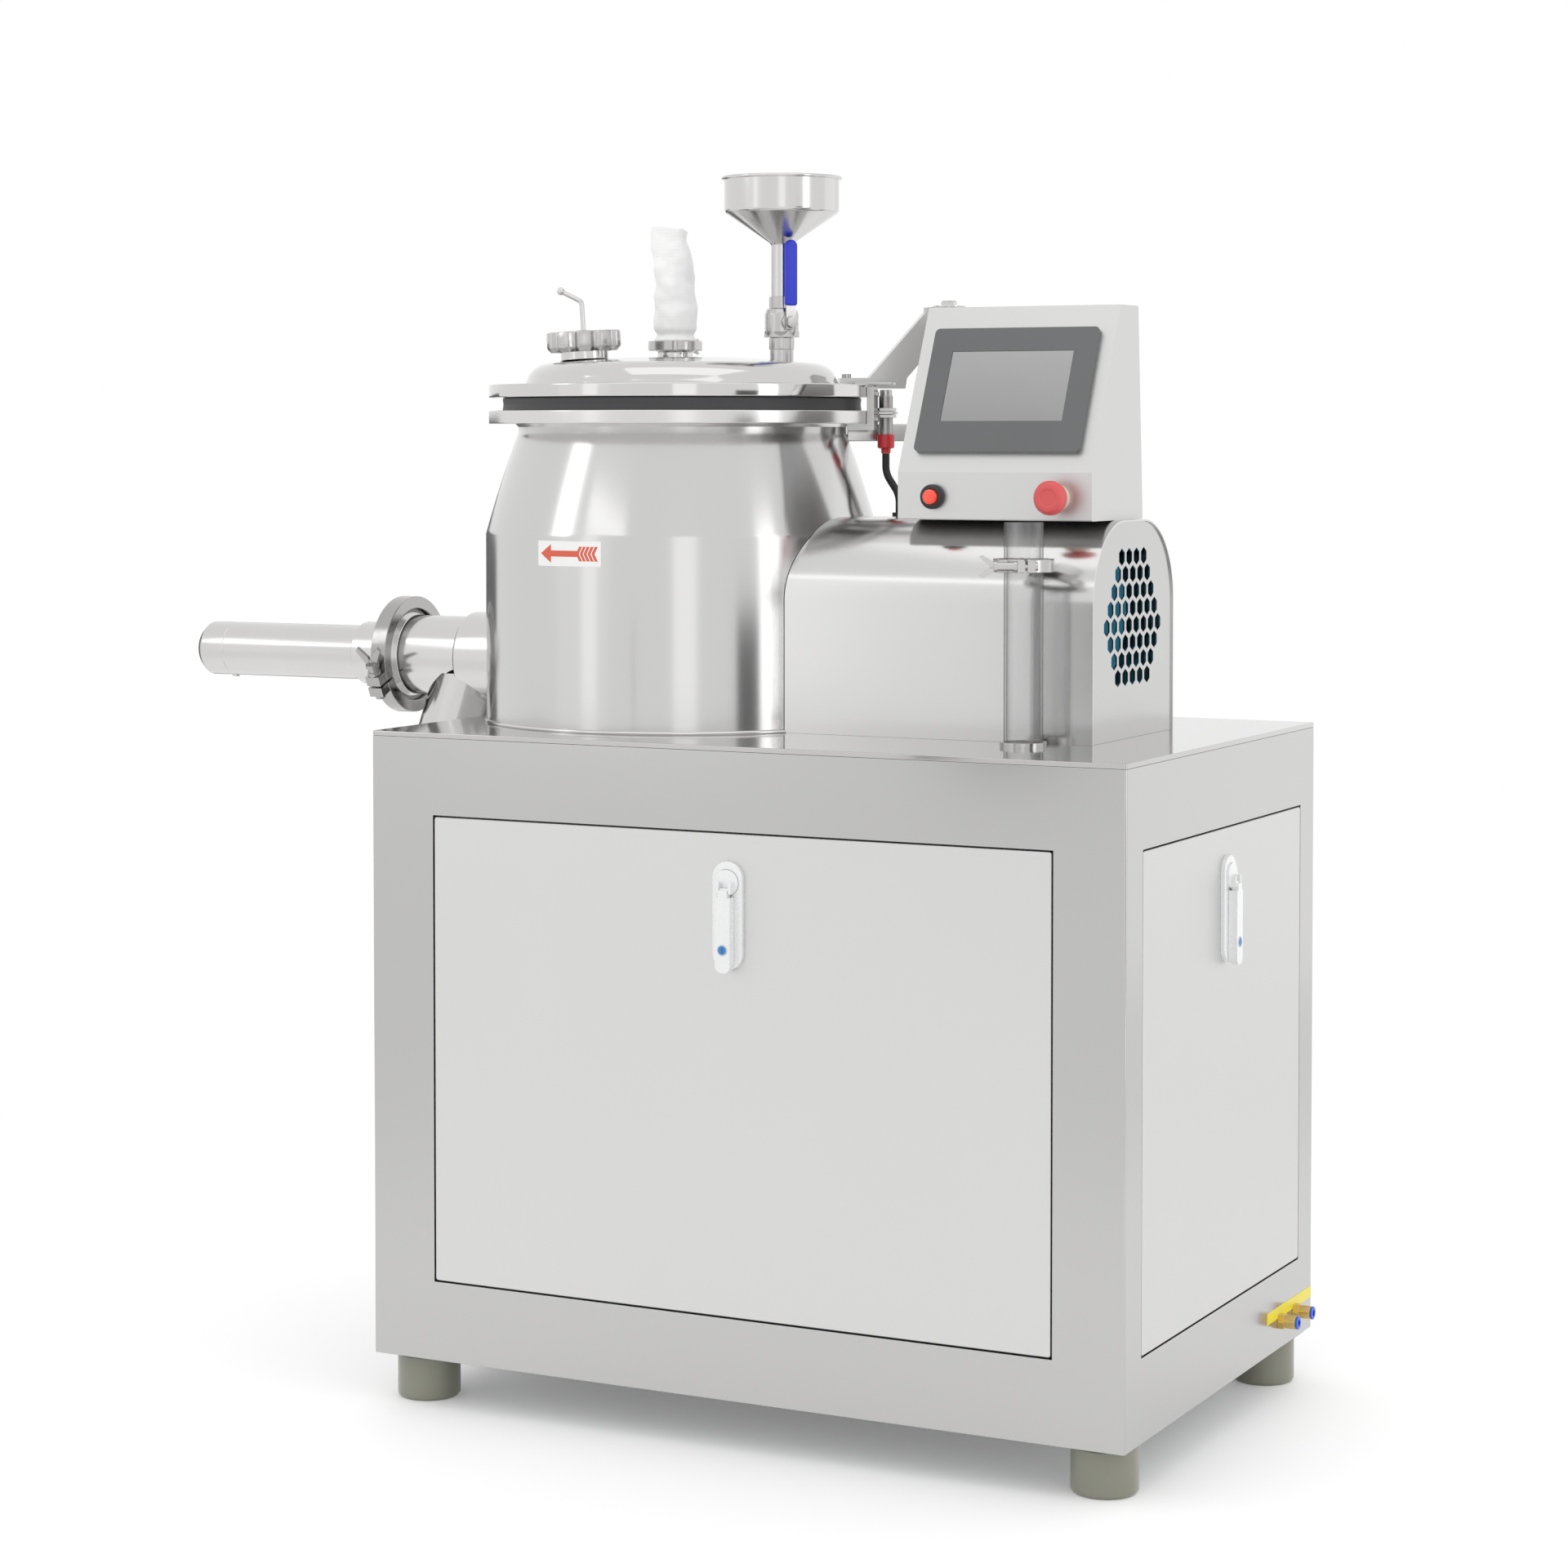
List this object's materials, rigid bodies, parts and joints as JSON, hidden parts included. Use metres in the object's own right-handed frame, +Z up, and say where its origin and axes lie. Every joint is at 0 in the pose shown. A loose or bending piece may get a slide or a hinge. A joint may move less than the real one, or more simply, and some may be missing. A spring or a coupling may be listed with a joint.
{
  "type": "high shear granulator",
  "caption": "Cabinet-mounted wet granulator: round bowl with a lift-and-swing lid, touch-screen box, plug discharge with chute, filter vent, filling funnel and clear standpipe.",
  "frame": {"origin": "on the floor, under the middle of the cabinet", "axes": "+Z up, +X to the operator's right along the cabinet's length, -Y towards the operator at the front panel"},
  "size_m": [1.465, 0.6776, 1.4854],
  "materials": {
    "satin_stainless": "satin",
    "mirror_stainless": "polished",
    "cast_stainless": "polished casting",
    "dark_rubber": "matt",
    "foot_rubber": "satin",
    "blue_paint": "gloss",
    "motor_paint": "gloss",
    "primer_steel": "matt",
    "pulley_iron": "machined",
    "brass": "turned",
    "blue_plastic": "gloss",
    "blue_grip": "satin",
    "black_plastic": "satin",
    "black_cable": "satin",
    "white_cloth": "woven",
    "clear_tube": "clear",
    "screen_frame": "satin",
    "screen": "gloss",
    "device_plastic": "satin",
    "red_plastic": "satin",
    "red_lens": "gloss",
    "lock_zinc": "satin",
    "nickel": "polished",
    "galvanised": "matt"
  },
  "bodies": {
    "machine": {"cabinet_shell": "satin_stainless", "top_plate": "mirror_stainless", "front_panel": "satin_stainless", "side_panel": "satin_stainless", "rear_panel": "satin_stainless", "base_frame": "primer_steel", "feet": "foot_rubber", "lock_plates": "lock_zinc", "bowl": "satin_stainless", "lid_gasket": "dark_rubber", "guide_block": "satin_stainless", "shaft_housings": "satin_stainless", "main_motor": "motor_paint", "drive_belt": "dark_rubber", "chopper_motor": "blue_paint", "motor_housing": "satin_stainless", "vent_plate": "satin_stainless", "cable_glands": "black_plastic", "control_box": "satin_stainless", "screen_bezel": "screen_frame", "screen_glass": "screen", "device_rings": "device_plastic", "standpipe": "clear_tube", "standpipe_fittings": "cast_stainless", "discharge_tube": "mirror_stainless", "discharge_chute": "satin_stainless", "discharge_clamp": "cast_stainless", "discharge_cylinder": "mirror_stainless", "lift_post": "mirror_stainless", "lid_sensor": "nickel", "sensor_cable": "black_cable", "air_inlets": "brass", "inlet_rings": "blue_plastic", "control_tray": "galvanised"},
    "impeller_drive": {"impeller": "mirror_stainless", "impeller_shaft": "pulley_iron"},
    "motor_drive": {"motor_pulley": "pulley_iron"},
    "chopper": {"chopper_rotor": "mirror_stainless"},
    "lift": {"lift_rod": "mirror_stainless"},
    "lid_group": {"lid": "mirror_stainless", "lid_arm": "satin_stainless", "vent_fitting": "cast_stainless", "filter_bag": "white_cloth", "valve_body": "cast_stainless", "funnel": "satin_stainless"},
    "valve": {"valve_stem": "nickel", "valve_grip": "blue_grip"},
    "vent_wing": {"vent_nut": "cast_stainless"},
    "feed_lid": {"feed_cap": "mirror_stainless"},
    "feed_ring": {"feed_nut": "cast_stainless"},
    "plug": {"discharge_plug": "mirror_stainless"},
    "discharge_wing": {"discharge_nut": "cast_stainless"},
    "standpipe_wing": {"standpipe_nut": "cast_stainless"},
    "estop_plunger": {"estop_stem": "device_plastic"},
    "estop_head": {"estop_button": "red_plastic"},
    "button": {"push_button": "red_lens"},
    "front_lock": {"front_lock_rotor": "lock_zinc"},
    "front_lever": {"front_lock_lever": "lock_zinc"},
    "side_lock": {"side_lock_rotor": "lock_zinc"},
    "side_lever": {"side_lock_lever": "lock_zinc"}
  },
  "joints": [
    {"name": "impeller_spin", "type": "hinge", "parent": "machine", "child": "impeller_drive", "pos_m": [-0.236, 0.008, 0.822], "axis": [0, 0, 1], "continuous": true},
    {"name": "motor_spin", "type": "hinge", "parent": "machine", "child": "motor_drive", "pos_m": [0.09, 0.008, 0.47], "axis": [0, 0, 1], "continuous": true},
    {"name": "chopper_spin", "type": "hinge", "parent": "machine", "child": "chopper", "pos_m": [0, 0.008, 0.952], "axis": [1, 0, 0], "continuous": true},
    {"name": "lid_lift", "type": "slide", "parent": "machine", "child": "lift", "axis": [0, 0, 1], "range_m": [0, 0.12]},
    {"name": "lid_swing", "type": "hinge", "parent": "lift", "child": "lid_group", "pos_m": [0.05004, 0.17987, 1.323], "axis": [0, 0, -1], "range_deg": [0, 100]},
    {"name": "valve_turn", "type": "hinge", "parent": "lid_group", "child": "valve", "pos_m": [-0.12971, 0.07186, 1.30409], "axis": [0.788, -0.6157, 0], "range_deg": [0, 90]},
    {"name": "vent_nut_turn", "type": "hinge", "parent": "lid_group", "child": "vent_wing", "pos_m": [-0.28803, 0.0859, 1.27607], "axis": [-0.8829, -0.4695, 0], "continuous": true},
    {"name": "feed_cap_lift", "type": "slide", "parent": "lid_group", "child": "feed_lid", "axis": [-0.0449, -0.027, 0.9986], "range_m": [0, 0.09]},
    {"name": "feed_nut_turn", "type": "hinge", "parent": "feed_lid", "child": "feed_ring", "pos_m": [-0.33972, -0.05432, 1.25659], "axis": [-0.0449, -0.027, 0.9986], "continuous": true},
    {"name": "discharge_open", "type": "slide", "parent": "machine", "child": "plug", "axis": [-1, 0, 0], "range_m": [0, 0.128]},
    {"name": "discharge_nut_turn", "type": "hinge", "parent": "machine", "child": "discharge_wing", "pos_m": [-0.64, -0.06695, 0.84505], "axis": [0, 0.4226, -0.9063], "continuous": true},
    {"name": "standpipe_nut_turn", "type": "hinge", "parent": "machine", "child": "standpipe_wing", "pos_m": [0.31539, -0.19609, 1.016], "axis": [0.891, 0.454, 0], "continuous": true},
    {"name": "estop_push", "type": "slide", "parent": "machine", "child": "estop_plunger", "axis": [0, 1, 0], "range_m": [0, 0.004]},
    {"name": "estop_release", "type": "hinge", "parent": "estop_plunger", "child": "estop_head", "pos_m": [0.313, -0.098, 1.092], "axis": [0, 1, 0], "range_deg": [0, 30], "stiffness_Nm_per_rad": 0.05},
    {"name": "button_press", "type": "slide", "parent": "machine", "child": "button", "axis": [0, 1, 0], "range_m": [0, 0.003], "stiffness_N_per_m": 400},
    {"name": "front_lock_turn", "type": "hinge", "parent": "machine", "child": "front_lock", "pos_m": [0, -0.315, 0.655], "axis": [0, 1, 0], "range_deg": [0, 90]},
    {"name": "front_lever_lift", "type": "hinge", "parent": "front_lock", "child": "front_lever", "pos_m": [0, -0.3265, 0.647], "axis": [-1, 0, 0], "range_deg": [0, 35]},
    {"name": "side_lock_turn", "type": "hinge", "parent": "machine", "child": "side_lock", "pos_m": [0.484, 0, 0.655], "axis": [-1, 0, 0], "range_deg": [0, 90]},
    {"name": "side_lever_lift", "type": "hinge", "parent": "side_lock", "child": "side_lever", "pos_m": [0.4955, 0, 0.647], "axis": [0, -1, 0], "range_deg": [0, 35]}
  ],
  "couplings": [
    {"joint": "motor_spin", "follows": "impeller_spin", "ratio": 1.6306}
  ]
}
